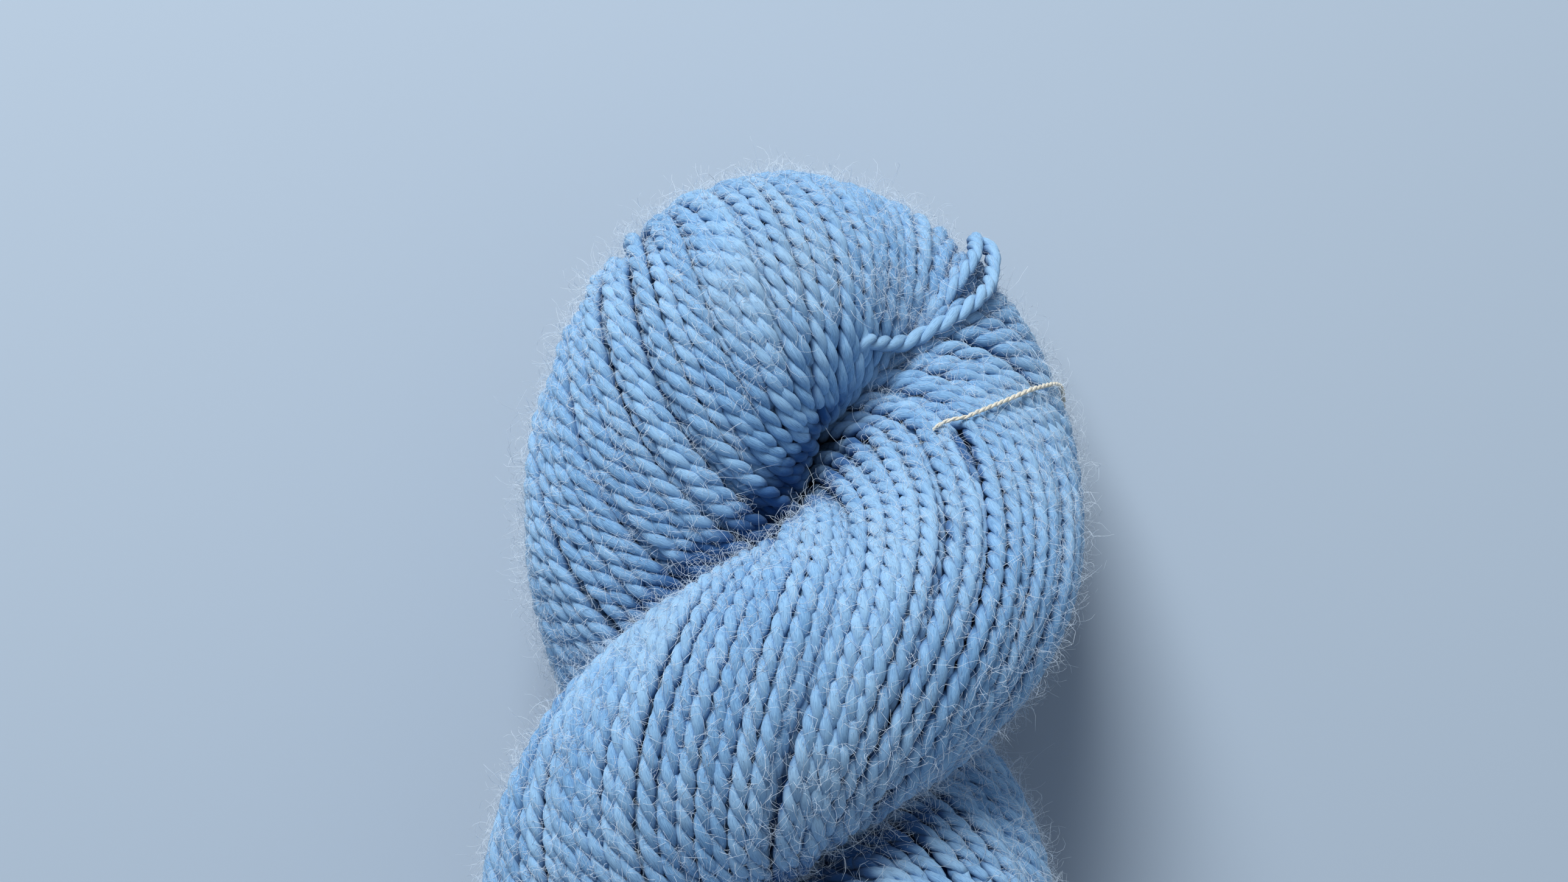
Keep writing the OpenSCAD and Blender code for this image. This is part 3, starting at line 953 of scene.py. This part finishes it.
Y = leg_y(AT_U)
IN_HEAD = (AT_U > -HEAD_CUT) & (AT_U < HEAD_LEN + HEAD_CUT)
UPPER = ~IN_HEAD & (Y >= -LEG_CUT)
LOWER = ~IN_HEAD & (Y < -LEG_CUT) & (Y > -196)
for k in range(7):
    add_fuzz(f"fuzz_head_{k + 1}", IN_HEAD, 6400, 4000 + k, "head", reach=(1.2, 3.8))
for k in range(2):
    add_fuzz(f"fuzz_upper_{k + 1}", UPPER, 4200, 4100 + k, "head", "middle", UPPER_BEND)
    add_fuzz(f"fuzz_lower_{k + 1}", LOWER, 4800, 4200 + k, "middle", "tail", LOWER_BEND)


add_fuzz("wisps_head", IN_HEAD, 70, 4050, "head", reach=(6.0, 11.0), rise=0.9)


def fuzz_on(name, p, up, count, seed, body):
    tubes = Tubes()
    tubes.batch(*fibres(count, p, unit(up), unit(np.gradient(p, axis=0)), seed))
    o = tubes.mesh(name, FUZZ_PAINTED_HIGHLIGHT)
    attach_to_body(o, body)


from_axis = COLLAR_P[:, 0] ** 2 + (COLLAR_P[:, 2] - TAIL_Z) ** 2
far_side = (from_axis > (COLLAR_R - 4) ** 2) & (COLLAR_P[:, 2] > 2)
fuzz_on("fuzz_collar", COLLAR_P[far_side], COLLAR_UP[far_side], 1600, 4300, "tail")
tip_rounds = [bulb_round(i, 0.0) for i in range(BULB_ROUNDS)]
tip_p = np.concatenate([p[16:-16] for p, _ in tip_rounds])
tip_up = np.concatenate([up[16:-16] for _, up in tip_rounds])
fuzz_on("fuzz_tucked_end", tip_p, tip_up, 3400, 4400, "tuck")

# ---------------------------------------------------------------- stage
floor = bpy.data.meshes.new("floor")
floor.from_pydata([(-2, -2, 0), (2, -2, 0), (2, 2, 0), (-2, 2, 0)], [], [(0, 1, 2, 3)])
floor = bpy.data.objects.new("floor", floor)
bpy.context.scene.collection.objects.link(floor)
paint, _, surface_node = new_material("floor_paint")
surface_node.inputs["Base Color"].default_value = (0.37, 0.46, 0.56, 1)
surface_node.inputs["Roughness"].default_value = 0.7
floor.data.materials.append(paint)

world = bpy.data.worlds.new("studio")
bpy.context.scene.world = world
world.use_nodes = True
world.node_tree.nodes["Background"].inputs[0].default_value = (0.80, 0.88, 1.0, 1)
world.node_tree.nodes["Background"].inputs[1].default_value = 0.30
bpy.context.scene.view_settings.view_transform = "Standard"


def area(name, at, aim, size, power):
    lamp = bpy.data.lights.new(name, "AREA")
    lamp.size = size
    lamp.energy = power
    o = bpy.data.objects.new(name, lamp)
    o.location = at
    o.rotation_euler = (Vector(aim) - Vector(at)).to_track_quat("-Z", "Y").to_euler()
    bpy.context.scene.collection.objects.link(o)


eye = Vector((0, EYE_Y * MM, AXIS_Z * MM))
area("window", eye + Vector((-0.20, 0.42, 0.50)), eye, 0.35, 5.5)
area("fill", eye + Vector((0.4, -0.35, 0.5)), eye, 0.6, 0.25)

cam = bpy.data.cameras.new("photo_camera")
cam_o = bpy.data.objects.new("photo_camera", cam)
bpy.context.scene.collection.objects.link(cam_o)
bpy.context.scene.camera = cam_o
# The frame is 2576 pixels wide, and one of them covers 0.0556 mm at the hank's eye.
FRAME_W = 2576 * 0.0556 * MM
cam.lens, cam.sensor_width = 85, 36
ELEVATION, LEAN = math.radians(78), math.radians(5)
back = Vector((0, -math.cos(ELEVATION), math.sin(ELEVATION)))
cam_o.location = eye + back * (FRAME_W * cam.lens / cam.sensor_width)
cam_o.rotation_euler = (-back).to_track_quat("-Z", "Y").to_euler()
cam_o.rotation_euler.rotate_axis("Z", LEAN)
cam.shift_x, cam.shift_y = -0.0132, 0.0429
cam.clip_start = 0.001
